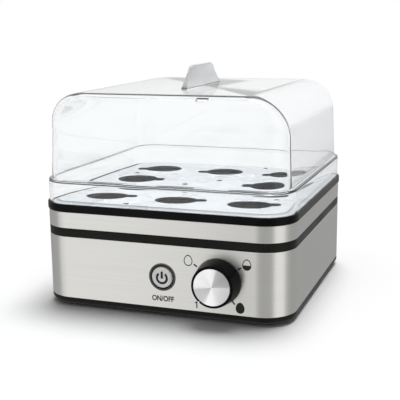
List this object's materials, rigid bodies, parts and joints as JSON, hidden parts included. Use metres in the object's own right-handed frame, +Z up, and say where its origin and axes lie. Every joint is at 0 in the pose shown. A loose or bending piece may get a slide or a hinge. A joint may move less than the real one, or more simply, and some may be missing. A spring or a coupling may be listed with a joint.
{
  "type": "egg cooker",
  "caption": "Square steel-clad electric egg cooker with a clear lift-off lid, a lift-out egg tray over a heated water dish, a timer knob and a power button.",
  "frame": {"origin": "centre of the bounding box at the underside of the feet", "axes": "+Z up out of the lid's handle, -Y out of the front wall with the knob and the button, +X to the right seen from the front"},
  "size_m": [0.2014, 0.2188, 0.183],
  "materials": {
    "brushed_steel": "fine horizontal brushed grain, satin",
    "black_plastic": "satin black",
    "gloss_black": "polished black",
    "foot_rubber": "matt",
    "dish_coating": "dark non-stick coating, satin",
    "silicone": "matt grey silicone",
    "aluminium": "machined",
    "zinc_steel": "zinc plated",
    "ceramic_ivory": "matt",
    "ivory_plastic": "matt",
    "circuit_board": "green lacquer",
    "relay_blue": "matt",
    "black_component": "matt",
    "silver_metal": "finely turned face, bright",
    "button_silver": "silver painted plastic, satin gloss",
    "bezel_grey": "smoked grey plastic",
    "brass": "machined",
    "wire_brown": "insulation",
    "wire_blue": "insulation",
    "wire_green": "insulation",
    "clear_tray": "clear moulded plastic with a light frost",
    "clear_lid": "clear polished moulded plastic"
  },
  "bodies": {
    "base": {"lower_sleeve": "brushed_steel", "upper_band": "brushed_steel", "base_pan": "black_plastic", "middle_ring": "black_plastic", "inlet_gland": "black_plastic", "gland_nut": "black_plastic", "top_collar": "gloss_black", "foot_front_left": "foot_rubber", "foot_front_right": "foot_rubber", "foot_rear_left": "foot_rubber", "foot_rear_right": "foot_rubber", "heating_dish": "dish_coating", "dish_gasket": "silicone", "heat_plate": "aluminium", "potentiometer_body": "aluminium", "thermal_fuse": "aluminium", "body_screw_front_left": "zinc_steel", "body_screw_front_right": "zinc_steel", "body_screw_rear_left": "zinc_steel", "body_screw_rear_right": "zinc_steel", "heating_element": "zinc_steel", "heat_shield": "zinc_steel", "shield_stud_left": "zinc_steel", "shield_stud_right": "zinc_steel", "stud_nut_left": "zinc_steel", "stud_nut_right": "zinc_steel", "board_bracket_left": "zinc_steel", "board_bracket_right": "zinc_steel", "thermostat": "ceramic_ivory", "film_capacitor": "ivory_plastic", "indicator_led": "ivory_plastic", "terminal_block": "ivory_plastic", "control_board": "circuit_board", "relay": "relay_blue", "buzzer": "black_component", "switch_body": "black_component", "button_bezel": "bezel_grey", "earth_stud": "brass", "wire_live": "wire_brown", "wire_neutral": "wire_blue", "wire_earth": "wire_green"},
    "tray": {"egg_tray": "clear_tray"},
    "lid": {"lid": "clear_lid"},
    "timer_knob": {"knob": "gloss_black", "knob_cap": "silver_metal", "potentiometer_shaft": "aluminium"},
    "power_button": {"button_cap": "button_silver", "switch_plunger": "ivory_plastic"}
  },
  "joints": [
    {"name": "tray_lift", "type": "slide", "parent": "base", "child": "tray", "axis": [0, 0, 1], "range_m": [0, 0.06]},
    {"name": "lid_lift", "type": "slide", "parent": "tray", "child": "lid", "axis": [0, 0, 1], "range_m": [0, 0.11]},
    {"name": "knob_turn", "type": "hinge", "parent": "base", "child": "timer_knob", "pos_m": [0.0468, -0.09455, 0.0318], "axis": [0, 1, 0], "range_deg": [0, 278]},
    {"name": "button_press", "type": "slide", "parent": "base", "child": "power_button", "axis": [0, 1, 0], "range_m": [0, 0.0015], "stiffness_N_per_m": 1200, "springref_m": -0.0004}
  ]
}
